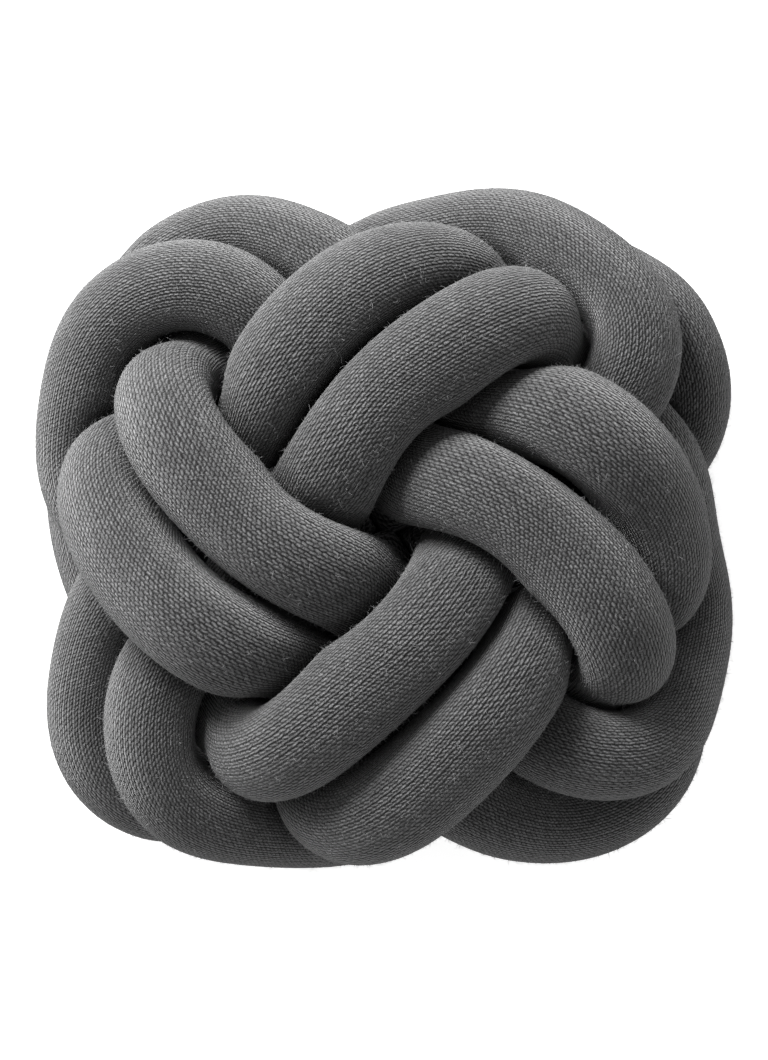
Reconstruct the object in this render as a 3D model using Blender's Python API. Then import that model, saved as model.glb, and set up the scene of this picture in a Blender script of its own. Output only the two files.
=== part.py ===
"""Knot cushion: one long stuffed knitted tube, laid twice round a four-armed ball knot and drawn tight.

The tube's route is a row of places, read on a plan of the cushion seen from its face. The first lap lies towards
the middle of the face and the second lies beside it, outside on the face and behind at the rim. The two closed
ends, and the step from the first lap to the second, lie under an arm of the face.
"""

import bpy
import numpy as np

# Sizes in millimetres.
PLAN_UNIT = 300 / 700  # one unit of the plan, at half the cushion's height
PLAN_MIDDLE = (384, 530)  # the plan's place of the cushion's axis
EYE_HEIGHT = 1200  # the plan is drawn in perspective from this height over the floor
HALF_HEIGHT = 75
TUBE_RADIUS = 20.5  # of the stuffed tube on the rim
INNER_RADIUS = 22.5  # where it lies inside the knot and behind it
FACE_RADIUS = 24.0  # where it lies free on top of the face
FACE_LEVEL = (88, 127)  # heights between which the tube grows to that
HIDDEN_SWELL = (4, 105, 75)  # how much further it swells where it is hidden, growing between these two distances
MIDDLE_SWELL = (8, 62, 22)  # and on the side that faces the axis, near it
REST_LEVEL = 21  # lowest height of the tube's middle
TOP_LEVEL = 126  # and the highest
RIM = (130, 125, 4)  # half sides and power of the rounded square that holds the tube's middle
PACKING = 0.9  # spacing of touching strands, as a share of their two radii
SEAM_GAP = 0.9  # half the space left between strands
PRESSED = 1.5  # how far the cushion's weight flattens what it rests on
STATION_STEP = 10  # spacing of the stations that are settled
SETTLING_STEPS = 500
EVENING_STEPS = 12  # small kinks are then evened out

# The route, arm by arm: across and down the plan, height in mm, and 1 where the strand shows on the face.
ROUTE_COLUMNS = ("across", "down", "height", "shown")
FIRST_LAP = (
    # its closed end, under the arm at the right
    (564, 482, 82, 0), (586, 436, 87, 0),
    # top right corner
    (612, 402, 88, 1), (630, 332, 90, 1), (592, 282, 85, 1), (551, 252, 78, 1), (496, 245, 70, 1), (447, 247, 62, 1),
    (400, 268, 60, 0), (350, 292, 58, 0), (295, 325, 58, 0), (240, 355, 62, 0),
    # left arm of the face
    (185, 378, 78, 0), (173, 403, 105, 1), (190, 452, 120, 1), (238, 513, 127, 1), (303, 556, 121, 1), (343, 579, 112, 1),
    (392, 626, 95, 0), (465, 680, 85, 0),
    # bottom right corner
    (545, 720, 86, 1), (600, 744, 88, 1), (640, 739, 86, 1), (668, 702, 80, 1), (677, 648, 72, 1), (677, 605, 66, 1),
    (664, 555, 62, 1), (636, 500, 62, 0), (608, 450, 62, 0), (580, 385, 62, 0),
    # top arm of the face
    (552, 332, 78, 0), (515, 322, 105, 1), (475, 334, 120, 1), (430, 362, 127, 1), (388, 391, 127, 1), (345, 457, 115, 1),
    (300, 510, 95, 0), (240, 590, 85, 0),
    # bottom left corner
    (180, 658, 86, 1), (160, 705, 88, 1), (157, 740, 88, 1), (168, 782, 85, 1), (222, 813, 76, 1), (270, 811, 68, 1),
    (315, 804, 62, 1), (365, 786, 60, 0), (420, 775, 58, 0), (480, 740, 58, 0), (555, 705, 62, 0),
    # right arm of the face
    (608, 668, 78, 0), (620, 645, 102, 1), (603, 598, 118, 1), (550, 535, 127, 1), (510, 503, 127, 1), (428, 472, 113, 1),
    (375, 435, 95, 0), (315, 375, 85, 0),
    # top left corner
    (262, 320, 86, 1), (232, 298, 88, 1), (195, 290, 90, 1), (155, 293, 90, 1), (136, 310, 88, 1), (102, 342, 82, 1),
    (93, 395, 74, 1), (97, 425, 68, 1), (104, 455, 62, 1), (112, 520, 60, 0), (140, 585, 58, 0), (175, 645, 58, 0),
    (212, 705, 62, 0),
    # bottom arm of the face
    (250, 748, 78, 0), (285, 745, 108, 1), (322, 718, 122, 1), (371, 681, 126, 1), (417, 640, 122, 1), (458, 598, 112, 1),
    # and the step to the second lap
    (503, 560, 92, 0), (547, 532, 64, 0), (598, 502, 48, 0), (644, 468, 42, 0),
)
SECOND_LAP = (
    # top right corner
    (682, 428, 46, 1), (698, 385, 52, 1), (694, 348, 54, 1), (664, 314, 48, 0), (610, 284, 38, 0), (550, 268, 28, 0),
    (480, 290, 21, 0), (410, 330, 20, 0), (350, 370, 20, 0), (280, 400, 20, 0), (215, 425, 24, 0), (160, 438, 36, 0),
    # left arm of the face
    (118, 445, 60, 0), (108, 480, 85, 1), (120, 527, 100, 1), (165, 590, 110, 1), (208, 625, 112, 1), (248, 650, 108, 1),
    (298, 665, 98, 1), (350, 705, 82, 0), (415, 765, 68, 0),
    # bottom right corner
    (476, 798, 60, 1), (503, 806, 58, 1), (551, 818, 56, 1), (590, 819, 54, 1), (631, 805, 52, 1), (662, 771, 46, 1),
    (655, 720, 36, 0), (642, 670, 27, 0), (618, 610, 20, 0), (584, 550, 20, 0), (555, 490, 20, 0), (535, 430, 20, 0),
    (522, 370, 24, 0), (512, 325, 38, 0),
    # top arm of the face
    (525, 306, 56, 0), (484, 289, 78, 1), (435, 281, 96, 1), (366, 298, 112, 1), (334, 321, 114, 1), (302, 352, 112, 1),
    (270, 408, 100, 1), (215, 470, 80, 0), (150, 560, 66, 0),
    # bottom left corner
    (117, 618, 58, 1), (99, 674, 56, 1), (91, 708, 54, 1), (89, 741, 52, 1), (103, 792, 46, 1), (153, 801, 40, 0),
    (218, 790, 28, 0), (288, 768, 21, 0), (358, 730, 20, 0), (418, 692, 20, 0), (488, 665, 20, 0), (553, 650, 24, 0),
    (608, 648, 38, 0),
    # right arm of the face
    (645, 635, 60, 0), (658, 590, 85, 1), (660, 545, 98, 1), (637, 487, 108, 1), (610, 459, 112, 1), (556, 424, 113, 1),
    (520, 413, 106, 1), (485, 408, 98, 0), (430, 365, 80, 0), (360, 290, 66, 0),
    # top left corner
    (300, 258, 60, 1), (268, 244, 60, 1), (240, 241, 60, 1), (207, 248, 58, 1), (172, 269, 52, 0), (140, 310, 46, 0),
    (108, 360, 38, 0), (94, 415, 32, 0), (88, 470, 28, 1), (91, 500, 26, 1), (99, 530, 24, 1), (112, 560, 22, 1),
    (150, 615, 20, 0), (205, 655, 20, 0), (250, 700, 22, 0), (285, 750, 36, 0),
    # bottom arm of the face, to its closed end
    (330, 806, 76, 0), (383, 804, 98, 1), (435, 764, 110, 1), (488, 707, 114, 1), (522, 652, 106, 1), (537, 613, 94, 0),
    (550, 566, 80, 0),
)
RINGS, SIDES = 420, 14  # of the finished solid
YARN_GREY = (0.09, 0.09, 0.092)


def on_plan(across, down, height):
    """Plan places as X and Y in mm: the plan's unit, smaller for what lies nearer the eye."""
    unit = PLAN_UNIT * (EYE_HEIGHT - height) / (EYE_HEIGHT - HALF_HEIGHT)
    return np.stack([(across - PLAN_MIDDLE[0]) * unit, (PLAN_MIDDLE[1] - down) * unit], axis=-1)


def smooth_through(values, at, wanted):
    """Natural cubic through rows of values at distances at, read at the wanted distances."""
    gaps = np.diff(at)
    count = len(at)
    matrix = np.eye(count)
    right = np.zeros(values.shape)
    rows = np.arange(1, count - 1)
    matrix[rows, rows - 1] = gaps[:-1]
    matrix[rows, rows] = 2 * (gaps[:-1] + gaps[1:])
    matrix[rows, rows + 1] = gaps[1:]
    slopes = np.diff(values, axis=0) / gaps[:, None]
    right[1:-1] = 6 * (slopes[1:] - slopes[:-1])
    bend = np.linalg.solve(matrix, right)
    cell = np.clip(np.searchsorted(at, wanted, side="right") - 1, 0, count - 2)
    gap, here = gaps[cell][:, None], (wanted - at[cell])[:, None]
    rest = gap - here
    return (
        bend[cell] * rest**3 + bend[cell + 1] * here**3
    ) / (6 * gap) + (values[cell] / gap - bend[cell] * gap / 6) * rest + (values[cell + 1] / gap - bend[cell + 1] * gap / 6) * here


def lengths_along(line):
    return np.concatenate([[0.0], np.cumsum(np.linalg.norm(np.diff(line, axis=0), axis=1))])


def evenly(line, count):
    """The same smooth line with its stations evenly spaced."""
    at = lengths_along(line)
    return smooth_through(line, at, np.linspace(0, at[-1], count))


def radius_at(height, shown):
    """The tube's free radius: fuller inside the knot, and on top of the face."""
    share = np.clip((height - FACE_LEVEL[0]) / (FACE_LEVEL[1] - FACE_LEVEL[0]), 0, 1)
    plain = INNER_RADIUS + (TUBE_RADIUS - INNER_RADIUS) * shown
    return plain + (FACE_RADIUS - plain) * share


def route():
    """The plan's route as stations a step apart: their plan places, heights and how far each shows."""
    rows = np.array(FIRST_LAP + SECOND_LAP, float)
    places = np.column_stack([on_plan(rows[:, 0], rows[:, 1], rows[:, 2]), rows[:, 2]])
    at = lengths_along(places)
    wanted = np.linspace(0, at[-1], int(at[-1] / STATION_STEP))
    spots = smooth_through(rows[:, :3], at, wanted)
    return spots, np.interp(wanted, at, rows[:, 3])


def settled():
    """The tube's middle line and how far it shows, its strands moved off one another until they lie side by side.

    In equal small moves each station leaves the strands that it overlaps, keeps its place on the plan where the
    strand shows, draws in towards the core where it doesn't, and stays smooth, over the floor and inside the rim.
    """
    spots, shown = route()
    hidden = (1 - shown)[:, None]
    line = np.column_stack([on_plan(*spots.T), spots[:, 2]])
    order = np.arange(len(line))
    step = lengths_along(line)[-1] / (len(line) - 1)
    apart = np.abs(order[:, None] - order) * step > 2.6 * TUBE_RADIUS
    core = np.array([0, 0, 0.8 * HALF_HEIGHT])
    for _ in range(SETTLING_STEPS):
        reach = radius_at(line[:, 2], shown) * PACKING
        between = line[:, None] - line
        distance = np.sqrt((between**2).sum(axis=2)) + 1e-9
        overlap = np.where(apart, np.maximum(reach[:, None] + reach - distance, 0), 0)
        move = (between * (overlap / distance)[..., None]).sum(axis=1) * 0.12
        longer = np.concatenate([2 * line[:1] - line[1:2], line, 2 * line[-1:] - line[-2:-1]])
        pull = (longer[:-2] + longer[2:]) / 2 - line
        longer = np.concatenate([pull[:1], pull, pull[-1:]])
        move -= 0.9 * ((longer[:-2] + longer[2:]) / 2 - pull)
        move += pull * (0.03 + 0.22 * hidden)
        place = on_plan(spots[:, 0], spots[:, 1], line[:, 2])
        move[:, :2] += (place - line[:, :2]) * (0.03 + 0.22 * shown[:, None])
        rim = ((np.abs(line[:, :2]) / RIM[:2]) ** RIM[2]).sum(axis=1) ** (1 / RIM[2])
        move[:, :2] -= line[:, :2] * (0.35 * np.maximum(rim - 1, 0))[:, None]
        inward = core - line
        move += 0.04 * hidden * inward / np.linalg.norm(inward, axis=1)[:, None]
        move[:, 2] += 0.5 * np.maximum(REST_LEVEL - line[:, 2], 0) - 0.5 * np.maximum(line[:, 2] - TOP_LEVEL, 0)
        move[:, 2] += 0.03 * (spots[:, 2] - line[:, 2])
        size = np.linalg.norm(move, axis=1)[:, None]
        line = line + move * np.minimum(1, 1.5 / np.maximum(size, 1e-9))
    at = lengths_along(line)
    shown = np.interp(np.linspace(0, at[-1], len(line)), at, shown)
    line = evenly(line, len(line))
    for share in (0.5, -0.52) * EVENING_STEPS:
        line[1:-1] += share * ((line[:-2] + line[2:]) / 2 - line[1:-1])
    return line, shown


def frames_along(line):
    """Tangent and two crosswise directions at each station, carried along without twisting."""
    tangent = np.gradient(line, axis=0)
    tangent /= np.linalg.norm(tangent, axis=1)[:, None]
    side = np.empty_like(line)
    across = np.cross(tangent[0], (0.3, 0.2, 1.0))
    for i, along in enumerate(tangent):
        across = across - along * (across @ along)
        across /= np.linalg.norm(across)
        side[i] = across
    return tangent, side, np.cross(tangent, side)


def swollen(line, shown, rings, sides):
    """Rings round the line. Along each direction the tube swells to its free radius, or until it has met the
    neighbouring strand halfway, less the seam gap. A neighbour at offset D stops direction d at D.D / (2 d.D).
    Near the axis it swells further where it is hidden, and on the side that faces the axis. The floor stops it too,
    a seam gap low, so that the part under height 0 can be pressed flat."""
    centres = evenly(line, rings)
    samples = evenly(line, int(lengths_along(line)[-1] / 4))
    at_centre = np.linspace(0, 1, rings)
    at_sample = np.linspace(0, 1, len(samples))
    length = lengths_along(centres)[-1]
    _, side, up = frames_along(centres)
    angles = np.arange(sides) * (2 * np.pi / sides)
    directions = np.cos(angles)[None, :, None] * side[:, None] + np.sin(angles)[None, :, None] * up[:, None]
    showing = np.interp(at_centre, np.linspace(0, 1, len(shown)), shown)
    from_axis = np.hypot(centres[:, 0], centres[:, 1])
    share = np.clip((HIDDEN_SWELL[1] - from_axis) / (HIDDEN_SWELL[1] - HIDDEN_SWELL[2]), 0, 1)
    free = (radius_at(centres[:, 2], showing) + HIDDEN_SWELL[0] * share * (1 - showing))[:, None]
    inward = -centres[:, :2] / np.maximum(from_axis, 1)[:, None]
    share = np.clip((MIDDLE_SWELL[1] - from_axis) / (MIDDLE_SWELL[1] - MIDDLE_SWELL[2]), 0, 1)
    facing = np.maximum((directions[..., :2] * inward[:, None]).sum(axis=2), 0)
    free = free + MIDDLE_SWELL[0] * share[:, None] * facing**2
    limit = np.empty((rings, sides))
    for i in range(rings):
        offset = samples - centres[i]
        square = (offset**2).sum(axis=1)
        near = (square < (2.3 * FACE_RADIUS) ** 2) & (np.abs(at_sample - at_centre[i]) * length > 12)
        facing = directions[i] @ offset[near].T
        stops = np.where(facing > 1e-6, square[near] / (2 * np.maximum(facing, 1e-6)), 1e6)
        limit[i] = stops.min(axis=1)
    floor = (centres[:, 2:] + SEAM_GAP) / np.maximum(-directions[..., 2], 1e-6)
    limit = np.minimum(np.maximum(limit - SEAM_GAP, 3), floor)
    radius = (free**-8.0 + limit**-8.0) ** (-1 / 8)
    surface = centres[:, None] + directions * radius[..., None]
    return centres, surface


def closed_tube(centres, surface):
    """Points and faces of the tube: a band of quads between rings, and a domed cap of triangles at each end."""
    rings, sides = surface.shape[:2]
    ring = np.arange(sides)
    turn = (ring + 1) % sides
    start = np.arange(rings - 1)[:, None] * sides
    bands = np.stack([start + ring, start + turn, start + sides + turn, start + sides + ring], axis=-1).reshape(-1, 4)
    ends = np.stack([2 * centres[0] - centres[1], 2 * centres[-1] - centres[-2]])
    first, last = rings * sides, rings * sides + 1
    caps = [(first, int(b), int(a)) for a, b in zip(ring, turn)]
    top = (rings - 1) * sides
    caps += [(last, int(top + a), int(top + b)) for a, b in zip(ring, turn)]
    return np.concatenate([surface.reshape(-1, 3), ends]), [tuple(map(int, b)) for b in bands] + caps


def rounded_ends(centres, surface):
    """The first and last rings drawn in to a round end."""
    surface = surface.copy()
    for ring, share in ((0, 0.5), (1, 0.86)):
        for i in (ring, len(centres) - 1 - ring):
            surface[i] = centres[i] + (surface[i] - centres[i]) * share
    return surface


def add_tube(name, colour):
    line, shown = settled()
    centres, surface = swollen(line, shown, RINGS, SIDES)
    points, faces = closed_tube(centres, rounded_ends(centres, surface))
    low, high = points[:, :2].min(axis=0), points[:, :2].max(axis=0)
    points[:, :2] -= (low + high) / 2
    points[:, 2] = np.maximum(points[:, 2] - PRESSED, 0)
    mesh = bpy.data.meshes.new(name)
    mesh.from_pydata((points / 1000).tolist(), [], faces)
    mesh.update()
    mesh.polygons.foreach_set("use_smooth", [True] * len(mesh.polygons))
    material = bpy.data.materials.new("dark grey wool knit")
    material.use_nodes = True
    surface_node = material.node_tree.nodes["Principled BSDF"]
    surface_node.inputs["Base Color"].default_value = (*colour, 1)
    surface_node.inputs["Roughness"].default_value = 0.95
    surface_node.inputs["Metallic"].default_value = 0
    mesh.materials.append(material)
    tube = bpy.data.objects.new(name, mesh)
    bpy.context.scene.collection.objects.link(tube)
    return tube


def main():
    for old in list(bpy.data.objects):
        bpy.data.objects.remove(old, do_unlink=True)
    add_tube("knotted_tube", YARN_GREY)


main()
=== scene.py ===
"""Knot cushion, dressed: one long stuffed tube of dark grey wool knit, laid twice round a four-armed knot.

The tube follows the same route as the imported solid, on a finer grid. Near the knot's middle its hidden
strands swell further into the core than the solid's do. It carries a map of its stitches: how many courses
along it and how many wales round it. The knit, its colour and its relief are drawn in the material on that
map. A second piece holds the loose wool hairs that stand off the knit.
"""

import bpy
import numpy as np
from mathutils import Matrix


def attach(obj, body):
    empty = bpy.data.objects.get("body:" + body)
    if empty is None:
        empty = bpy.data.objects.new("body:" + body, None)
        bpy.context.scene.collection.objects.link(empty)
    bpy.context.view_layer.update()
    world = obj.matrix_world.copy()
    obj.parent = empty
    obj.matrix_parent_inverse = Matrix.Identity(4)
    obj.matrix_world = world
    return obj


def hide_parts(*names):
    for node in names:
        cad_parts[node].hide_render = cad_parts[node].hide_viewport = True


bl_info = {
    "name": "Knot cushion",
    "version": (1, 0, 0),
    "blender": (4, 5, 0),
    "location": "View3D > Sidebar > Knot cushion",
    "description": "Makes a stuffed knitted tube laid twice round a ball knot, on a pale floor",
    "category": "Object",
}

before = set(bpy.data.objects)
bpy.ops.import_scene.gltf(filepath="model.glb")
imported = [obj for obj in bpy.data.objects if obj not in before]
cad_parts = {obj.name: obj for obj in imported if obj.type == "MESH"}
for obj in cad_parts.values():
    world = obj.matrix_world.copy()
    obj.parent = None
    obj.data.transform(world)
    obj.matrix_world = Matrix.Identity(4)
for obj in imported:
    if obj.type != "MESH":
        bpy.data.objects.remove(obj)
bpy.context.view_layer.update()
CAD_TUBE = "knotted_tube"
MM = 0.001
TINY = 1e-9  # keeps a division from meeting nought

# The route's plan: the cushion seen from its face, in units of the plan, drawn in perspective.
PLAN_UNIT = 300 / 700  # millimetres a unit, at half the cushion's height
PLAN_MIDDLE = (384, 530)  # the plan's place of the cushion's axis
PLAN_HEIGHT = 1060  # of the plan, all of which the camera sees
EYE_HEIGHT = 1200  # of the eye that the plan is drawn for, in mm
HALF_HEIGHT = 75  # of the cushion, in mm

# How the strands lie, in millimetres.
TUBE_RADIUS = 20.5  # of the stuffed tube on the rim
INNER_RADIUS = 22.5  # where it lies inside the knot and behind it
FACE_RADIUS = 24.0  # where it lies free on top of the face
FACE_LEVEL = (88, 127)  # heights of its middle between which it grows to that
REST_LEVEL = 21  # lowest height of the tube's middle
TOP_LEVEL = 126  # and the highest
RIM = (130, 125, 4)  # half sides and power of the rounded square that holds the tube's middle
PRESSED = 1.5  # how far the cushion's weight flattens what it rests on

# How the strands settle. The shares are of what one step mends.
STATION_STEP = 10  # spacing of the stations that are settled
SETTLING_STEPS = 500
LONGEST_MOVE = 1.5  # of a station in one step
PACKING = 0.9  # spacing of touching strands, as a share of their two radii
OTHER_STRAND = 2.6  # tube radii along the tube, past which a station counts as another strand
SPREADING = 0.12  # share of an overlap that a station moves away
SMOOTHING = 0.9  # share of the way to bending as its neighbours do
TIGHTENING = (0.03, 0.22)  # share of the way to a straight line, and how much more where it is hidden
PLAN_HOLD = (0.03, 0.22)  # share of the way back to its plan place, and how much more where it shows
HEIGHT_HOLD = 0.03  # share of the way back to its route's height
RIM_PUSH = 0.35  # share of the way back inside the rim
LEVEL_PUSH = 0.5  # share of the way back between the lowest and the highest height
CORE_HEIGHT = 0.8 * HALF_HEIGHT  # of the core's middle
CORE_DRAW = 0.04  # how far a hidden station moves towards it
EVENING = (0.5, -0.52)  # shares of a bend that go and come back, which evens out small kinks
EVENING_STEPS = 12

# How the tube swells. A swell is followed by the distances from the axis at which it starts and is full.
SAMPLE_STEP = 4  # spacing of the points that stand for the other strands
NEIGHBOUR_REACH = 2.3  # how near such a point has to be to stop the tube, in radii of the face's tube
OWN_STRETCH = 12  # and how far from it along the tube
LEAST_RADIUS = 3  # that neighbours leave
LEAST_FACING = 1e-6  # less than this towards a neighbour or the floor is none
FAR_STOP = 1e6  # a stop so far off that it is none
FAR_SQUARE = 1e9  # and the square of such a distance
SWELL_POWER = 6.0  # how sharply a round side turns into a flat contact
HIDDEN_SWELL = (4, 105, 75)  # where the tube is hidden
MIDDLE_SWELL = (2, 62, 22)  # on the side that faces the axis
CORE_SWELL = (180, 100, 70)  # and of hidden strands down into the knot's core, until something stops them
CORE_LEVEL = (50, 70)  # heights of the tube's middle between which that grows
CORE_SLOPE = 0.28  # and how steeply down it starts
PRESSED_LIMIT = 0.93  # a neighbour at this share of the free radius presses the yarn flat
FREE_RANGE = 0.25  # and one this much further off leaves it free
CORE_SHADE_AND_HAIRLESS = 0.9  # how far the yarn that swells into the core is darkened with painted shade and kept free of hairs
LUMP_WAVES = (
    # radians a millimetre along the tube, turns round it, and the angle that the wave starts at
    (0.041, 2, 0.3), (0.067, -1, 1.9), (0.093, 3, 4.1), (0.128, -2, 2.6), (0.021, 1, 5.2),
)

# The knit, in courses along the tube and wales round it. Waves are counted to a metre, and tones are factors.
WANDER = (380.0, 0.6)  # waves of the stitches' wandering along the tube, and how broad it is
DRIFT = (330.0, 0.35)  # and the same round it
LEG_LEAN = (0.5, -0.05)  # how far a leg leans over, in the first column of a wale and in the second
ACROSS_POWER = 1.15  # of the cosine across a leg
ALONG_POWER = 0.42  # and along it
GROOVE_POWER = 3.0  # of the groove between wales
GROOVE_HEIGHT = -0.4
NOISE_SPAN = (0.3, 0.7)  # what most of a noise's values lie between
LEG_TONES = (0.8, 1.25)  # of the darkest leg and the palest
FIBRE_WAVES = 1900.0
FIBRE_TONES = (0.4, 1.6)
FIBRE_RELIEF = 0.4  # the fibres' height, as a share of a stitch's
PATCH_WAVES = 45.0
PATCH_TONES = (0.92, 1.08)
GAP_SHADE_TONES = (0.1, 1.42)  # painted shade: the yarn's tone low between the legs, and on top of one
CREASE_SHADE_TONES = (0.25, 1.0)  # painted shade in the creases: where a strand presses on the yarn, and where none does
MIDDLE_PAINTED_SHADE = 0.85  # painted shade on the yarn deep in the knot's middle
MIDDLE_REACH = (0.02, 0.034)  # distances from the axis over which that ends, in metres
MIDDLE_DEPTHS = (0.085, 0.112)  # and heights

# The loose hairs.
HAIR_SEED = 7
HAIR_BORDER = 10  # rings at each end of the tube that carry none
HAIR_ROOT = 0.3  # how deep a hair starts under the surface, in mm
HAIR_LEANS = (0.5, 1.45)  # least and greatest lean away from the surface's normal, in radians
HAIR_LENGTHS = 1.2  # power of the lengths' spread: over 1, more hairs are long than short
HAIR_BEND = 0.6  # how far a hair bends aside, as a share of its length
HAIR_DROOP = 0.25  # and how far a leaning one bends back to the knit
HAIR_TAPER = 0.8  # share of its width that is left half way along
HAIR_FACES = ((0, 1, 2, 3), (3, 2, 4))  # its points, from root to middle and from there to the tip
HAIR_WAVES = 400.0
HAIR_TONES = (0.4, 1.6)

# The stage, in metres.
FLOOR_HALF = 10.0
GLOW_REACH = (0.09, 0.14)  # distances from the axis over which the floor's glow grows
LIGHT_AIM = (0, 0, 0.06)
KEY_LIGHT = ((-0.48, 0.74, 0.72), 0.5)  # its place and its width
SIDE_LIGHT = ((-1.0, 0.3, 0.25), 0.4)
SENSOR_HEIGHT = 24  # of the camera, in mm
NEAREST_SEEN = 0.05  # by the camera

# The route, arm by arm: across and down the plan, height in mm, and 1 where the strand shows on the face.
FIRST_LAP = (
    # its closed end, under the arm at the right
    (564, 482, 82, 0), (586, 436, 87, 0),
    # top right corner
    (612, 402, 88, 1), (630, 332, 90, 1), (592, 282, 85, 1), (551, 252, 78, 1), (496, 245, 70, 1),
    (447, 247, 62, 1), (400, 268, 60, 0), (350, 292, 58, 0), (295, 325, 58, 0), (240, 355, 62, 0),
    # left arm of the face
    (185, 378, 78, 0), (173, 403, 105, 1), (190, 452, 120, 1), (238, 513, 127, 1), (303, 556, 121, 1),
    (343, 579, 112, 1), (392, 626, 95, 0), (465, 680, 85, 0),
    # bottom right corner
    (545, 720, 86, 1), (600, 744, 88, 1), (640, 739, 86, 1), (668, 702, 80, 1), (677, 648, 72, 1),
    (677, 605, 66, 1), (664, 555, 62, 1), (636, 500, 62, 0), (608, 450, 62, 0), (580, 385, 62, 0),
    # top arm of the face
    (552, 332, 78, 0), (515, 322, 105, 1), (475, 334, 120, 1), (430, 362, 127, 1), (388, 391, 127, 1),
    (345, 457, 115, 1), (300, 510, 95, 0), (240, 590, 85, 0),
    # bottom left corner
    (180, 658, 86, 1), (160, 705, 88, 1), (157, 740, 88, 1), (168, 782, 85, 1), (222, 813, 76, 1),
    (270, 811, 68, 1), (315, 804, 62, 1), (365, 786, 60, 0), (420, 775, 58, 0), (480, 740, 58, 0),
    (555, 705, 62, 0),
    # right arm of the face
    (608, 668, 78, 0), (620, 645, 102, 1), (603, 598, 118, 1), (550, 535, 127, 1), (510, 503, 127, 1),
    (428, 472, 113, 1), (375, 435, 95, 0), (315, 375, 85, 0),
    # top left corner
    (262, 320, 86, 1), (232, 298, 88, 1), (195, 290, 90, 1), (155, 293, 90, 1), (136, 310, 88, 1),
    (102, 342, 82, 1), (93, 395, 74, 1), (97, 425, 68, 1), (104, 455, 62, 1), (112, 520, 60, 0),
    (140, 585, 58, 0), (175, 645, 58, 0), (212, 705, 62, 0),
    # bottom arm of the face
    (250, 748, 78, 0), (285, 745, 108, 1), (322, 718, 122, 1), (371, 681, 126, 1), (417, 640, 122, 1),
    (458, 598, 112, 1),
    # and the step to the second lap
    (503, 560, 92, 0), (547, 532, 64, 0), (598, 502, 48, 0), (644, 468, 42, 0),
)
SECOND_LAP = (
    # top right corner
    (682, 428, 46, 1), (698, 385, 52, 1), (694, 348, 54, 1), (664, 314, 48, 0), (610, 284, 38, 0),
    (550, 268, 28, 0), (480, 290, 21, 0), (410, 330, 20, 0), (350, 370, 20, 0), (280, 400, 20, 0),
    (215, 425, 24, 0), (160, 438, 36, 0),
    # left arm of the face
    (118, 445, 60, 0), (108, 480, 85, 1), (120, 527, 100, 1), (165, 590, 110, 1), (208, 625, 112, 1),
    (248, 650, 108, 1), (298, 665, 98, 1), (350, 705, 82, 0), (415, 765, 68, 0),
    # bottom right corner
    (476, 798, 60, 1), (503, 806, 58, 1), (551, 818, 56, 1), (590, 819, 54, 1), (631, 805, 52, 1),
    (662, 771, 46, 1), (655, 720, 36, 0), (642, 670, 27, 0), (618, 610, 20, 0), (584, 550, 20, 0),
    (555, 490, 20, 0), (535, 430, 20, 0), (522, 370, 24, 0), (512, 325, 38, 0),
    # top arm of the face
    (525, 306, 56, 0), (484, 289, 78, 1), (435, 281, 96, 1), (366, 298, 112, 1), (334, 321, 114, 1),
    (302, 352, 112, 1), (270, 408, 100, 1), (215, 470, 80, 0), (150, 560, 66, 0),
    # bottom left corner
    (117, 618, 58, 1), (99, 674, 56, 1), (91, 708, 54, 1), (89, 741, 52, 1), (103, 792, 46, 1),
    (153, 801, 40, 0), (218, 790, 28, 0), (288, 768, 21, 0), (358, 730, 20, 0), (418, 692, 20, 0),
    (488, 665, 20, 0), (553, 650, 24, 0), (608, 648, 38, 0),
    # right arm of the face
    (645, 635, 60, 0), (658, 590, 85, 1), (660, 545, 98, 1), (637, 487, 108, 1), (610, 459, 112, 1),
    (556, 424, 113, 1), (520, 413, 106, 1), (485, 408, 98, 0), (430, 365, 80, 0), (360, 290, 66, 0),
    # top left corner
    (300, 258, 60, 1), (268, 244, 60, 1), (240, 241, 60, 1), (207, 248, 58, 1), (172, 269, 52, 0),
    (140, 310, 46, 0), (108, 360, 38, 0), (94, 415, 32, 0), (88, 470, 28, 1), (91, 500, 26, 1),
    (99, 530, 24, 1), (112, 560, 22, 1), (150, 615, 20, 0), (205, 655, 20, 0), (250, 700, 22, 0),
    (285, 750, 36, 0),
    # bottom arm of the face, to its closed end
    (330, 806, 76, 0), (383, 804, 98, 1), (435, 764, 110, 1), (488, 707, 114, 1), (522, 652, 106, 1),
    (537, 613, 94, 0), (550, 566, 80, 0),
)


class TubeSizes(bpy.types.PropertyGroup):
    """Sizes of the stuffed tube"""

    rings: bpy.props.IntProperty(name="Rings", description="Rings along the tube", default=1520, min=200)
    sides: bpy.props.IntProperty(name="Sides", description="Points in each ring", default=64, min=12)
    seam_gap: bpy.props.FloatProperty(
        name="Seam gap", description="Half the space between two strands that touch",
        default=0.35 * MM, min=0.0, unit="LENGTH", precision=5,
    )
    lumps: bpy.props.FloatProperty(
        name="Lumps", description="How far the filling bulges the knit, out or in",
        default=0.45 * MM, min=0.0, unit="LENGTH", precision=5,
    )


class KnitFinish(bpy.types.PropertyGroup):
    """Stitches and colour of the knit"""

    wales: bpy.props.IntProperty(
        name="Wales", description="Columns of stitches round the tube", default=49, min=4,
    )
    course: bpy.props.FloatProperty(
        name="Course", description="Length of one stitch along the tube",
        default=2.25 * MM, min=0.1 * MM, unit="LENGTH", precision=5,
    )
    yarn: bpy.props.FloatVectorProperty(
        name="Yarn", description="Colour of the yarn where it stands out",
        default=(0.08, 0.08, 0.081), size=3, min=0.0, max=1.0, subtype="COLOR",
    )
    depth: bpy.props.FloatProperty(
        name="Stitch depth", description="Height of a stitch over the gaps between",
        default=0.6 * MM, min=0.0, unit="LENGTH", precision=5,
    )


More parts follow.
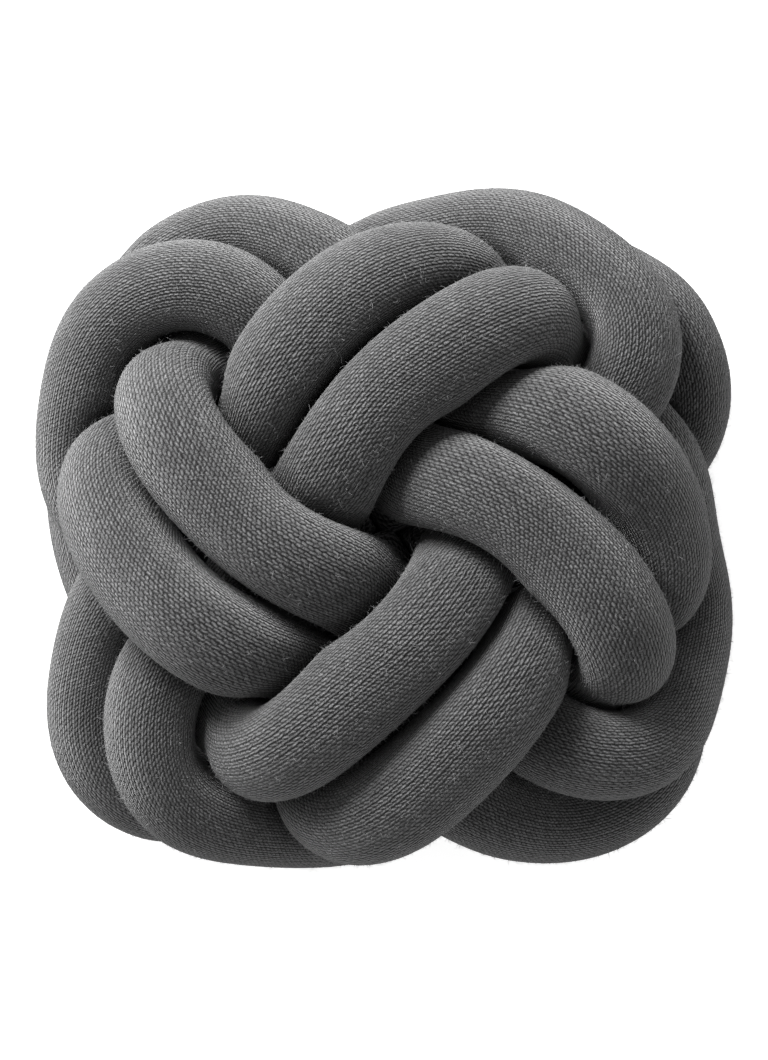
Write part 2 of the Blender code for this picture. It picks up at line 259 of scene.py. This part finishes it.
class HairSizes(bpy.types.PropertyGroup):
    """Sizes and colour of the loose hairs"""

    count: bpy.props.IntProperty(name="Hairs", description="Number of loose hairs", default=64000, min=0)
    length: bpy.props.FloatProperty(
        name="Hair length", description="Length of the longest hairs",
        default=4.0 * MM, min=0.0, unit="LENGTH", precision=5,
    )
    width: bpy.props.FloatProperty(
        name="Hair width", description="Width of a hair at its root",
        default=0.11 * MM, min=0.0, unit="LENGTH", precision=5,
    )
    colour: bpy.props.FloatVectorProperty(
        name="Hair colour", description="Colour of the loose hairs",
        default=(0.17, 0.17, 0.172), size=3, min=0.0, max=1.0, subtype="COLOR",
    )


class StageLook(bpy.types.PropertyGroup):
    """The floor's colour and the strength of the lights"""

    floor: bpy.props.FloatVectorProperty(
        name="Floor", description="Colour of the floor",
        default=(0.8, 0.8, 0.8), size=3, min=0.0, max=1.0, subtype="COLOR",
    )
    key_power: bpy.props.FloatProperty(
        name="Key light", description="Power of the soft light at the upper left",
        default=30.0, min=0.0, unit="POWER",
    )
    side_power: bpy.props.FloatProperty(
        name="Side light", description="Power of the low light at the left",
        default=5.0, min=0.0, unit="POWER",
    )
    sky: bpy.props.FloatProperty(
        name="Sky", description="Strength of the even light all round",
        default=0.5, min=0.0, subtype="FACTOR",
    )
    glow: bpy.props.FloatProperty(
        name="Floor glow", description="How far the floor is lit from behind, as a light table is",
        default=0.75, min=0.0, subtype="FACTOR",
    )


def ramp(value, none, full):
    """From 0 at none to 1 at full in a straight line, and level past both."""
    return np.clip((value - none) / (full - none), 0, 1)


def unit(rows):
    """The rows as directions of length 1."""
    return rows / np.linalg.norm(rows, axis=1)[:, None]


def on_plan(across, down, height):
    """Plan places as X and Y in mm: the plan's unit, smaller for what lies nearer the eye."""
    step = PLAN_UNIT * (EYE_HEIGHT - height) / (EYE_HEIGHT - HALF_HEIGHT)
    return np.stack([(across - PLAN_MIDDLE[0]) * step, (PLAN_MIDDLE[1] - down) * step], axis=-1)


def smooth_through(values, at, wanted):
    """Natural cubic through rows of values at distances at, read at the wanted distances."""
    gaps = np.diff(at)
    count = len(at)
    matrix = np.eye(count)
    right = np.zeros(values.shape)
    rows = np.arange(1, count - 1)
    matrix[rows, rows - 1] = gaps[:-1]
    matrix[rows, rows] = 2 * (gaps[:-1] + gaps[1:])
    matrix[rows, rows + 1] = gaps[1:]
    slopes = np.diff(values, axis=0) / gaps[:, None]
    right[1:-1] = 6 * (slopes[1:] - slopes[:-1])
    bend = np.linalg.solve(matrix, right)
    cell = np.clip(np.searchsorted(at, wanted, side="right") - 1, 0, count - 2)
    gap, here = gaps[cell][:, None], (wanted - at[cell])[:, None]
    rest = gap - here
    cubic = (bend[cell] * rest**3 + bend[cell + 1] * here**3) / (6 * gap)
    low = (values[cell] / gap - bend[cell] * gap / 6) * rest
    high = (values[cell + 1] / gap - bend[cell + 1] * gap / 6) * here
    return cubic + low + high


def lengths_along(line):
    """How far each point lies along the line from its start."""
    return np.concatenate([[0.0], np.cumsum(np.linalg.norm(np.diff(line, axis=0), axis=1))])


def evenly(line, count):
    """The same smooth line with its stations evenly spaced."""
    at = lengths_along(line)
    return smooth_through(line, at, np.linspace(0, at[-1], count))


def to_straight(rows, before, after):
    """The way from each row to halfway between the one before it and the one after it."""
    longer = np.concatenate([before, rows, after])
    return (longer[:-2] + longer[2:]) / 2 - rows


def radius_at(height, shown):
    """The tube's free radius: fuller inside the knot, and on top of the face."""
    plain = INNER_RADIUS + (TUBE_RADIUS - INNER_RADIUS) * shown
    return plain + (FACE_RADIUS - plain) * ramp(height, *FACE_LEVEL)


def route():
    """The plan's route as stations a step apart: their plan places, heights and how far each shows."""
    rows = np.array(FIRST_LAP + SECOND_LAP, float)
    places = np.column_stack([on_plan(rows[:, 0], rows[:, 1], rows[:, 2]), rows[:, 2]])
    at = lengths_along(places)
    wanted = np.linspace(0, at[-1], int(at[-1] / STATION_STEP))
    spots = smooth_through(rows[:, :3], at, wanted)
    return spots, np.interp(wanted, at, rows[:, 3])


def settled():
    """The tube's middle line and how far it shows, its strands moved apart until they lie side by side.

    In small steps each station leaves the strands that it overlaps, keeps its place on the plan where the
    strand shows, draws in towards the core where it doesn't, and stays smooth, over the floor and inside the
    rim.
    """
    spots, shown = route()
    hidden = (1 - shown)[:, None]
    line = np.column_stack([on_plan(*spots.T), spots[:, 2]])
    order = np.arange(len(line))
    step = lengths_along(line)[-1] / (len(line) - 1)
    apart = np.abs(order[:, None] - order) * step > OTHER_STRAND * TUBE_RADIUS
    core = np.array([0, 0, CORE_HEIGHT])
    for _ in range(SETTLING_STEPS):
        reach = radius_at(line[:, 2], shown) * PACKING
        between = line[:, None] - line
        distance = np.sqrt((between**2).sum(axis=2)) + TINY
        overlap = np.where(apart, np.maximum(reach[:, None] + reach - distance, 0), 0)
        move = (between * (overlap / distance)[..., None]).sum(axis=1) * SPREADING
        pull = to_straight(line, 2 * line[:1] - line[1:2], 2 * line[-1:] - line[-2:-1])
        move -= SMOOTHING * to_straight(pull, pull[:1], pull[-1:])
        move += pull * (TIGHTENING[0] + TIGHTENING[1] * hidden)
        place = on_plan(spots[:, 0], spots[:, 1], line[:, 2])
        move[:, :2] += (place - line[:, :2]) * (PLAN_HOLD[0] + PLAN_HOLD[1] * shown[:, None])
        rim = ((np.abs(line[:, :2]) / RIM[:2]) ** RIM[2]).sum(axis=1) ** (1 / RIM[2])
        move[:, :2] -= line[:, :2] * (RIM_PUSH * np.maximum(rim - 1, 0))[:, None]
        inward = core - line
        move += CORE_DRAW * hidden * inward / np.linalg.norm(inward, axis=1)[:, None]
        too_low = np.maximum(REST_LEVEL - line[:, 2], 0)
        too_high = np.maximum(line[:, 2] - TOP_LEVEL, 0)
        move[:, 2] += LEVEL_PUSH * too_low - LEVEL_PUSH * too_high
        move[:, 2] += HEIGHT_HOLD * (spots[:, 2] - line[:, 2])
        size = np.linalg.norm(move, axis=1)[:, None]
        line = line + move * np.minimum(1, LONGEST_MOVE / np.maximum(size, TINY))
    at = lengths_along(line)
    shown = np.interp(np.linspace(0, at[-1], len(line)), at, shown)
    line = evenly(line, len(line))
    for share in EVENING * EVENING_STEPS:
        line[1:-1] += share * to_straight(line[1:-1], line[:1], line[-1:])
    return line, shown


def frames_along(line):
    """Two crosswise directions at each station, square to the line, each carried on from the one before."""
    tangent = unit(np.gradient(line, axis=0))
    side = np.empty_like(line)
    across = np.cross(tangent[0], (0.3, 0.2, 1.0))
    for i, along in enumerate(tangent):
        across = across - along * (across @ along)
        across /= np.linalg.norm(across)
        side[i] = across
    return side, np.cross(tangent, side)


def round_ends(count, length):
    """Share of the radius left at each ring: a quarter circle over the last tube radius at both ends."""
    at = np.linspace(0, length, count)
    inside = np.clip(np.minimum(at, length - at) / TUBE_RADIUS, 0, 1)
    return np.sqrt(1 - (1 - inside) ** 2)


def filling_lumps(along, angles):
    """Slow waves along and round the tube, from -1 to 1, where the filling is thicker or thinner."""
    lengthwise, round_it = along[:, None], angles[None]
    waves = (np.sin(pitch * lengthwise + turns * round_it + start) for pitch, turns, start in LUMP_WAVES)
    return sum(waves) / len(LUMP_WAVES)


def neighbours(line, centres):
    """The way D from each ring's middle to points along the whole tube, and D.D.

    Points that are too far off, or on the ring's own stretch of the tube, get a D.D so great that they stop
    nothing.
    """
    length = lengths_along(centres)[-1]
    samples = evenly(line, int(length / SAMPLE_STEP))
    along = np.abs(np.linspace(0, 1, len(samples)) - np.linspace(0, 1, len(centres))[:, None]) * length
    offset = samples[None] - centres[:, None]
    square = (offset**2).sum(axis=2)
    idle = (square > (NEIGHBOUR_REACH * FACE_RADIUS) ** 2) | (along < OWN_STRETCH)
    return offset, np.where(idle, FAR_SQUARE, square)


def swollen(sizes):
    """The knit's grid of points, a row for each ring, the freedom of each, and the tube's length.

    Freedom goes from 0, where a neighbour presses on the knit, to 1, where none does. Along each direction
    the tube swells to its free radius, or until it has met the neighbouring strand halfway, less the seam
    gap: a neighbour at offset D stops direction d at D.D / (2 d.D). Near the axis it swells further where it
    is hidden, and on the side that faces the axis, and hidden strands swell down into the knot's core. The
    floor stops it too, and the part under height 0 is pressed flat.
    """
    gap = sizes.seam_gap / MM
    line, shown = settled()
    centres = evenly(line, sizes.rings)
    length = lengths_along(centres)[-1]
    offset, square = neighbours(line, centres)
    side, up = frames_along(centres)
    angles = np.arange(sizes.sides) * (2 * np.pi / sizes.sides)
    at_ring = np.linspace(0, 1, sizes.rings)
    showing = np.interp(at_ring, np.linspace(0, 1, len(shown)), shown)
    hidden = 1 - showing
    from_axis = np.hypot(centres[:, 0], centres[:, 1])
    inward = -centres[:, :2] / np.maximum(from_axis, 1)[:, None]
    free = radius_at(centres[:, 2], showing) + HIDDEN_SWELL[0] * ramp(from_axis, *HIDDEN_SWELL[1:]) * hidden
    middle = MIDDLE_SWELL[0] * ramp(from_axis, *MIDDLE_SWELL[1:])
    core = ramp(from_axis, *CORE_SWELL[1:]) * hidden * ramp(centres[:, 2], *CORE_LEVEL)
    lumps = 1 + (sizes.lumps / MM / TUBE_RADIUS) * filling_lumps(at_ring * length, angles)
    surface = np.empty((sizes.rings, sizes.sides, 3))
    freedom = np.empty((sizes.rings, sizes.sides))
    for column, angle in enumerate(angles):
        direction = np.cos(angle) * side + np.sin(angle) * up
        facing = np.einsum("rc,rsc->rs", direction, offset)
        stops = np.where(facing > LEAST_FACING, square / (2 * np.maximum(facing, LEAST_FACING)), FAR_STOP)
        floor = (centres[:, 2] + gap) / np.maximum(-direction[:, 2], LEAST_FACING)
        limit = np.minimum(np.maximum(stops.min(axis=1) - gap, LEAST_RADIUS), floor)
        axial = np.maximum((direction[:, :2] * inward).sum(axis=1), 0)
        down = np.maximum(-direction[:, 2] - CORE_SLOPE, 0)
        inwards = middle * axial**2 + CORE_SWELL[0] * core * axial * down
        wanted = (free + inwards) * lumps[:, column]
        radius = (wanted**-SWELL_POWER + limit**-SWELL_POWER) ** (-1 / SWELL_POWER)
        clear = np.clip((limit / wanted - PRESSED_LIMIT) / FREE_RANGE, 0, 1)
        # the core's share lowers freedom only to paint shade on the yarn there and keep hairs off it
        freedom[:, column] = clear * (1 - CORE_SHADE_AND_HAIRLESS * core)
        surface[:, column] = centres + direction * (radius * round_ends(sizes.rings, length))[:, None]
    low, high = surface.min(axis=(0, 1)), surface.max(axis=(0, 1))
    surface[..., :2] -= (low[:2] + high[:2]) / 2
    surface[..., 2] = np.maximum(surface[..., 2] - PRESSED, 0)
    return surface, freedom, length


def in_mesh_order(grid):
    """The grid's values row by row, with those of a single point for the first row and the last."""
    rows = np.concatenate([grid[:1, 0], grid[1:-1].reshape(-1, grid.shape[2]), grid[-1:, 0]])
    return rows.astype(np.float32).ravel()


def closed_grid(name, surface, freedom, stitch_map):
    """A mesh of a grid of points that closes round its rows and meets in one point at both ends.

    Each quad joins a point to the next in its row and the two beside them in the next row; the first and
    last rows are single points, so the bands next to them are triangles. stitch_map gives how far the map of
    stitches runs along and round. freedom is kept as an attribute of the points.
    """
    rings, sides = surface.shape[:2]
    body = np.arange((rings - 2) * sides).reshape(-1, sides) + 1
    index = np.concatenate([np.zeros((1, sides), int), body, np.full((1, sides), body.size + 1)])
    ring, column = np.meshgrid(np.arange(rings - 1), np.arange(sides), indexing="ij")
    steps = ((0, 0), (0, 1), (1, 1), (1, 0))  # along and round, in the order that faces outwards
    corners = np.stack([index[ring + ahead, (column + on) % sides] for ahead, on in steps], axis=-1)
    places = np.stack([np.stack([ring + ahead, column + on], axis=-1) for ahead, on in steps], axis=-2)
    kept = np.ones(corners.shape, bool)
    kept[0, :, 0] = False
    kept[-1, :, 3] = False
    sizes = kept.sum(axis=-1).ravel()
    mesh = bpy.data.meshes.new(name)
    mesh.vertices.add(body.size + 2)
    mesh.vertices.foreach_set("co", in_mesh_order(surface * MM))
    points = mesh.attributes.new("freedom", "FLOAT", "POINT")
    points.data.foreach_set("value", in_mesh_order(freedom[..., None]))
    mesh.loops.add(int(sizes.sum()))
    mesh.loops.foreach_set("vertex_index", corners[kept].astype(np.int32))
    mesh.polygons.add(len(sizes))
    mesh.polygons.foreach_set("loop_start", (np.cumsum(sizes) - sizes).astype(np.int32))
    mesh.polygons.foreach_set("use_smooth", np.ones(len(sizes), bool))
    stitches = places[kept] / (rings - 1, sides) * stitch_map
    mesh.uv_layers.new(name="stitches").data.foreach_set("uv", stitches.astype(np.float32).ravel())
    mesh.update(calc_edges=True)
    mesh.validate()
    return mesh


def loose_hairs(surface, freedom, sizes):
    """Points of the hairs, five each: two at the root, two in the middle and the tip.

    The roots lie at random places of the tube's grid, more of them where it is free of its neighbours. A
    hair leaves in a direction d between the surface's normal and a random tangent, and after s of its length
    L it is at L (s d + s s b), where the bend b is another random tangent, turned down to the knit. It is a
    flat blade, narrower towards its tip, and lies on the floor where it would go under it.
    """
    draw = np.random.default_rng(HAIR_SEED)
    along = np.gradient(surface, axis=0)
    round_it = np.roll(surface, -1, axis=1) - np.roll(surface, 1, axis=1)
    facing_out = np.cross(round_it, along)
    weight = (np.sqrt(freedom) * np.linalg.norm(facing_out, axis=2))[HAIR_BORDER:-HAIR_BORDER].ravel()
    chosen = draw.choice(weight.size, sizes.count, p=weight / weight.sum()) + HAIR_BORDER * surface.shape[1]
    grids = (surface, along, round_it, facing_out)
    root, step_along, step_round, outwards = (grid.reshape(-1, 3)[chosen] for grid in grids)
    normal = unit(outwards)
    tangent = unit(step_along)
    other = np.cross(normal, tangent)
    spread = draw.uniform(-0.5, 0.5, (sizes.count, 2))
    root = root + spread[:, :1] * step_along + spread[:, 1:] * step_round / 2
    turn, swing = draw.uniform(0, 2 * np.pi, (2, sizes.count, 1))
    lean = draw.uniform(*HAIR_LEANS, (sizes.count, 1))
    length = sizes.length / MM * draw.power(HAIR_LENGTHS, (sizes.count, 1))
    first = normal * np.cos(lean) + (tangent * np.cos(turn) + other * np.sin(turn)) * np.sin(lean)
    aside = (tangent * np.cos(swing) + other * np.sin(swing)) * HAIR_BEND
    bend = aside - normal * HAIR_DROOP * np.sin(lean)
    across = unit(np.cross(first, bend)) * (sizes.width / MM / 2)
    narrow = across * HAIR_TAPER
    half = 0.5
    middle = root + length * (half * first + half**2 * bend)
    tip = root + length * (first + bend)
    root = root - normal * HAIR_ROOT
    hairs = np.stack([root - across, root + across, middle + narrow, middle - narrow, tip], axis=1)
    hairs[..., 2] = np.maximum(hairs[..., 2], 0)
    return hairs


def blades(name, hairs):
    """A mesh of the hairs as flat blades: each a quad from root to middle, and a triangle to the tip."""
    count, points = hairs.shape[:2]
    corners = np.concatenate(HAIR_FACES)
    each = np.arange(count)[:, None]
    starts = each * len(corners) + (0, len(HAIR_FACES[0]))
    mesh = bpy.data.meshes.new(name)
    mesh.vertices.add(count * points)
    mesh.vertices.foreach_set("co", (hairs * MM).astype(np.float32).ravel())
    mesh.loops.add(count * len(corners))
    mesh.loops.foreach_set("vertex_index", (each * points + corners).astype(np.int32).ravel())
    mesh.polygons.add(starts.size)
    mesh.polygons.foreach_set("loop_start", starts.astype(np.int32).ravel())
    mesh.update(calc_edges=True)
    mesh.validate()
    return mesh


class NodeRow:
    """Adds shader nodes to a material, one call each, and returns the socket to go on with."""

    def __init__(self, tree):
        self.tree = tree

    def node(self, kind, **settings):
        """A new node, with its settings."""
        made = self.tree.nodes.new(kind)
        for name, value in settings.items():
            setattr(made, name, value)
        return made

    def feed(self, node, socket, value):
        """Link another node's socket to this one, or set it to a plain value."""
        if isinstance(value, bpy.types.NodeSocket):
            self.tree.links.new(value, node.inputs[socket])
        else:
            node.inputs[socket].default_value = value

    def math(self, operation, *values):
        """A sum, product or function of the values."""
        made = self.node("ShaderNodeMath", operation=operation)
        for socket, value in enumerate(values):
            self.feed(made, socket, value)
        return made.outputs[0]

    def remap(self, value, low, high, to_low=0.0, to_high=1.0, smooth=False):
        """The value carried from the range low to high over to another, and level past its ends."""
        made = self.node("ShaderNodeMapRange", interpolation_type="SMOOTHSTEP" if smooth else "LINEAR")
        sockets = ("Value", "From Min", "From Max", "To Min", "To Max")
        for socket, number in zip(sockets, (value, low, high, to_low, to_high)):
            self.feed(made, socket, number)
        return made.outputs["Result"]

    def noise(self, place, scale, detail=2.0, stretch=(1, 1, 1)):
        """Noise from 0 to 1 at a place."""
        mapping = self.node("ShaderNodeMapping")
        self.feed(mapping, "Vector", place)
        self.feed(mapping, "Scale", stretch)
        made = self.node("ShaderNodeTexNoise", noise_dimensions="3D")
        self.feed(made, "Vector", mapping.outputs[0])
        self.feed(made, "Scale", scale)
        self.feed(made, "Detail", detail)
        return made.outputs["Fac"]

    def sway(self, noise, breadth):
        """The noise as a shift to either side, over a breadth."""
        return self.math("MULTIPLY", self.math("SUBTRACT", noise, 0.5), breadth)

    def past_middle(self, value):
        """How far a value lies past the middle of its cell, from -0.5 to 0.5."""
        return self.math("SUBTRACT", self.math("FRACT", value), 0.5)

    def hump(self, value, power):
        """A power of the cosine that is 1 where the value is 0, and 0 where it is a half."""
        return self.math("POWER", self.math("COSINE", self.math("MULTIPLY", value, np.pi)), power)

    def parts(self, vector):
        """The three numbers of a vector."""
        made = self.node("ShaderNodeSeparateXYZ")
        self.feed(made, 0, vector)
        return made.outputs

    def shaded(self, colour, shade):
        """A colour times a shade."""
        made = self.node("ShaderNodeVectorMath", operation="SCALE")
        self.feed(made, 0, tuple(colour))
        self.feed(made, "Scale", shade)
        return made.outputs[0]


def new_material(name):
    """A material, the row that adds its nodes, and its shader."""
    material = bpy.data.materials.new(name)
    material.use_nodes = True
    return material, NodeRow(material.node_tree), material.node_tree.nodes["Principled BSDF"]


def stitch_legs(row, solid):
    """Height of the knit on its map of stitches, and a random number for each leg.

    A wale has two columns of legs, the second half a course behind the first. A leg is a power of a cosine
    across its column times a lower power of a cosine along its course, and it leans over, more in one column
    than in the other. What lies between the legs is low, and lower between wales. The stitches wander a
    little off their grid.
    """
    along, around, _ = row.parts(row.node("ShaderNodeUVMap", uv_map="stitches").outputs[0])
    course = row.math("ADD", along, row.sway(row.noise(solid, WANDER[0]), WANDER[1]))
    wale = row.math("ADD", around, row.sway(row.noise(solid, DRIFT[0], stretch=(-1, 1, 1)), DRIFT[1]))
    legs = row.math("MULTIPLY", wale, 2.0)
    column = row.math("FLOOR", legs)
    second = row.math("FLOORED_MODULO", column, 2.0)
    staggered = row.math("MULTIPLY_ADD", second, 0.5, course)
    ahead = row.past_middle(staggered)
    lean = row.math("MULTIPLY", ahead, row.remap(second, 0.0, 1.0, *LEG_LEAN))
    aside = row.math("SUBTRACT", row.past_middle(legs), lean)
    off_leg = row.math("MINIMUM", row.math("ABSOLUTE", aside), 0.5)
    leg = row.math("MULTIPLY", row.hump(off_leg, ACROSS_POWER), row.hump(ahead, ALONG_POWER))
    off_wale = row.math("ABSOLUTE", row.past_middle(wale))
    groove = row.math("POWER", row.math("MULTIPLY", off_wale, 2.0), GROOVE_POWER)
    cell = row.node("ShaderNodeCombineXYZ")
    row.feed(cell, 0, row.math("FLOOR", staggered))
    row.feed(cell, 1, column)
    number = row.node("ShaderNodeTexWhiteNoise", noise_dimensions="2D")
    row.feed(number, "Vector", cell.outputs[0])
    return row.math("MULTIPLY_ADD", groove, GROOVE_HEIGHT, leg), number.outputs[0]


def wool_knit(finish):
    """Stocking stitch in dark melange wool, drawn on the map of stitches.

    The yarn varies from leg to leg, along its fibres and in soft patches. Shade is painted into its colour:
    darker low between the legs and paler on top of one, darker in the creases where a strand presses on it,
    and darker deep in the knot's middle.
    """
    material, row, shader = new_material("dark grey wool knit")
    solid = row.node("ShaderNodeTexCoord").outputs["Object"]
    height, of_leg = stitch_legs(row, solid)
    fibre = row.noise(solid, FIBRE_WAVES)
    patch = row.noise(solid, PATCH_WAVES)
    leg_tone = row.remap(of_leg, 0.0, 1.0, *LEG_TONES)
    tone = row.math("MULTIPLY", leg_tone, row.remap(fibre, *NOISE_SPAN, *FIBRE_TONES))
    tone = row.math("MULTIPLY", tone, row.remap(patch, *NOISE_SPAN, *PATCH_TONES))
    # painted shade in the creases, where a neighbouring strand presses on the yarn
    free = row.node("ShaderNodeAttribute", attribute_name="freedom").outputs["Fac"]
    crease_shade = row.remap(free, 0.0, 1.0, *CREASE_SHADE_TONES, smooth=True)
    # painted shade deep in the knot's middle: darker near the axis and low down
    x, y, z = row.parts(solid)
    from_axis = row.math("SQRT", row.math("ADD", row.math("POWER", x, 2.0), row.math("POWER", y, 2.0)))
    near_axis = row.remap(from_axis, *MIDDLE_REACH, 1.0, 0.0, smooth=True)
    depth = row.remap(z, *MIDDLE_DEPTHS, MIDDLE_PAINTED_SHADE, 0.0, smooth=True)
    shadow = row.math("SUBTRACT", 1.0, row.math("MULTIPLY", near_axis, depth))
    # painted shade, darker low between the legs and paler on top of one, times the yarn's own tone
    shade = row.math("MULTIPLY", row.remap(height, 0.0, 1.0, *GAP_SHADE_TONES), tone)
    shade = row.math("MULTIPLY", row.math("MULTIPLY", shade, crease_shade), shadow)
    row.feed(shader, "Base Color", row.shaded(finish.yarn, shade))
    bump = row.node("ShaderNodeBump")
    row.feed(bump, "Strength", 1.0)
    row.feed(bump, "Distance", finish.depth)
    row.feed(bump, "Height", row.math("ADD", height, row.math("MULTIPLY", fibre, FIBRE_RELIEF)))
    row.feed(shader, "Normal", bump.outputs[0])
    row.feed(shader, "Roughness", 0.92)
    row.feed(shader, "Specular IOR Level", 0.15)
    row.feed(shader, "Sheen Weight", 0.3)
    row.feed(shader, "Sheen Roughness", 0.45)
    row.feed(shader, "Sheen Tint", (0.8, 0.8, 0.8, 1))
    return material


def loose_wool(sizes):
    """Dull wool of the loose hairs, paler and darker from hair to hair."""
    material, row, shader = new_material("loose grey wool")
    noise = row.noise(row.node("ShaderNodeTexCoord").outputs["Object"], HAIR_WAVES, detail=1.0)
    row.feed(shader, "Base Color", row.shaded(sizes.colour, row.remap(noise, *NOISE_SPAN, *HAIR_TONES)))
    row.feed(shader, "Roughness", 0.9)
    row.feed(shader, "Specular IOR Level", 0.2)
    return material


def pale_floor(look):
    """Dull pale paint, lit from behind past a distance from the axis."""
    material, row, shader = new_material("pale floor")
    spread = row.node("ShaderNodeVectorMath", operation="LENGTH")
    row.feed(spread, 0, row.node("ShaderNodeTexCoord").outputs["Object"])
    glow = row.remap(spread.outputs["Value"], *GLOW_REACH, 0.0, look.glow, smooth=True)
    row.feed(shader, "Base Color", (*look.floor, 1))
    row.feed(shader, "Roughness", 0.9)
    row.feed(shader, "Emission Color", (1, 1, 1, 1))
    row.feed(shader, "Emission Strength", glow)
    return material


def shown_object(name, mesh, material):
    """The mesh as an object at the origin that rides on the cushion's one body."""
    mesh.materials.append(material)
    made = bpy.data.objects.new(name, mesh)
    bpy.context.scene.collection.objects.link(made)
    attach(made, "root")
    return made


def soft_light(name, place, size, power):
    """A square soft light at a place, turned to face the cushion."""
    lamp = bpy.data.lights.new(name, "AREA")
    lamp.shape = "SQUARE"
    lamp.size = size
    lamp.energy = power
    made = bpy.data.objects.new(name, lamp)
    made.location = place
    looking = np.subtract(LIGHT_AIM, place)
    looking = looking / np.linalg.norm(looking)
    made.rotation_euler = (np.arccos(-looking[2]), 0, np.arctan2(-looking[0], looking[1]))
    bpy.context.scene.collection.objects.link(made)


def even_sky(strength):
    """White light all round, of one strength."""
    world = bpy.data.worlds.new("even light")
    world.use_nodes = True
    sky = world.node_tree.nodes["Background"]
    sky.inputs["Strength"].default_value = strength
    sky.inputs["Color"].default_value = (1, 1, 1, 1)
    return world


def camera_over_face():
    """A camera straight above the face that sees the plan's whole height."""
    view = bpy.data.cameras.new("camera over the face")
    view.sensor_fit = "VERTICAL"
    view.sensor_height = SENSOR_HEIGHT
    view.lens = SENSOR_HEIGHT * (EYE_HEIGHT - HALF_HEIGHT) / (PLAN_HEIGHT * PLAN_UNIT)
    view.clip_start = NEAREST_SEEN
    camera = bpy.data.objects.new("camera over the face", view)
    camera.location = (0, 0, (EYE_HEIGHT - PRESSED) * MM)
    return camera


class KNOTCUSHION_OT_tube(bpy.types.Operator):
    """Make the stuffed knitted tube"""

    bl_idname = "knotcushion.tube"
    bl_label = "Knitted tube"

    def execute(self, context):
        sizes, finish = context.scene.knot_tube, context.scene.knot_knit
        surface, freedom, length = swollen(sizes)
        stitch_map = (round(length * MM / finish.course), finish.wales)
        mesh = closed_grid("stuffed_knit_tube", surface, freedom, stitch_map)
        tube = shown_object("stuffed_knit_tube", mesh, wool_knit(finish))
        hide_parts(CAD_TUBE)
        return {"FINISHED"}


class KNOTCUSHION_OT_hairs(bpy.types.Operator):
    """Make the loose wool hairs that stand off the knit"""

    bl_idname = "knotcushion.hairs"
    bl_label = "Loose hairs"

    def execute(self, context):
        sizes = context.scene.knot_hairs
        surface, freedom, _ = swollen(context.scene.knot_tube)
        mesh = blades("loose_wool_hairs", loose_hairs(surface, freedom, sizes))
        shown_object("loose_wool_hairs", mesh, loose_wool(sizes))
        return {"FINISHED"}


class KNOTCUSHION_OT_stage(bpy.types.Operator):
    """Make the floor, the lights and the camera straight above the face"""

    bl_idname = "knotcushion.stage"
    bl_label = "Floor, lights and camera"

    def execute(self, context):
        look = context.scene.knot_stage
        mesh = bpy.data.meshes.new("floor")
        signs = ((-1, -1), (1, -1), (1, 1), (-1, 1))
        mesh.from_pydata([(x * FLOOR_HALF, y * FLOOR_HALF, 0) for x, y in signs], [], [(0, 1, 2, 3)])
        mesh.materials.append(pale_floor(look))
        floor = bpy.data.objects.new("floor", mesh)
        context.scene.collection.objects.link(floor)
        soft_light("key light", *KEY_LIGHT, look.key_power)
        soft_light("side light", *SIDE_LIGHT, look.side_power)
        context.scene.world = even_sky(look.sky)
        context.scene.view_settings.view_transform = "Standard"
        camera = camera_over_face()
        context.scene.collection.objects.link(camera)
        context.scene.camera = camera
        return {"FINISHED"}


class KNOTCUSHION_PT_panel(bpy.types.Panel):
    """The cushion's sizes and finishes, and a button for each operator"""

    bl_idname = "KNOTCUSHION_PT_panel"
    bl_label = "Knot cushion"
    bl_space_type = "VIEW_3D"
    bl_region_type = "UI"
    bl_category = "Knot cushion"

    def draw(self, context):
        for name in SETTINGS:
            group = getattr(context.scene, name)
            box = self.layout.box()
            for setting in group.bl_rna.properties.keys():
                if setting not in ("rna_type", "name"):
                    box.prop(group, setting)
        for operator in OPERATORS:
            self.layout.operator(operator.bl_idname)


SETTINGS = {"knot_tube": TubeSizes, "knot_knit": KnitFinish, "knot_hairs": HairSizes, "knot_stage": StageLook}
OPERATORS = (KNOTCUSHION_OT_tube, KNOTCUSHION_OT_hairs, KNOTCUSHION_OT_stage)
CLASSES = (*SETTINGS.values(), *OPERATORS, KNOTCUSHION_PT_panel)


def register():
    for made in CLASSES:
        bpy.utils.register_class(made)
    for name, group in SETTINGS.items():
        setattr(bpy.types.Scene, name, bpy.props.PointerProperty(type=group))


def unregister():
    for name in SETTINGS:
        delattr(bpy.types.Scene, name)
    for made in reversed(CLASSES):
        bpy.utils.unregister_class(made)


def main():
    register()
    bpy.ops.knotcushion.tube()
    bpy.ops.knotcushion.hairs()
    bpy.ops.knotcushion.stage()


if __name__ == "__main__":
    main()
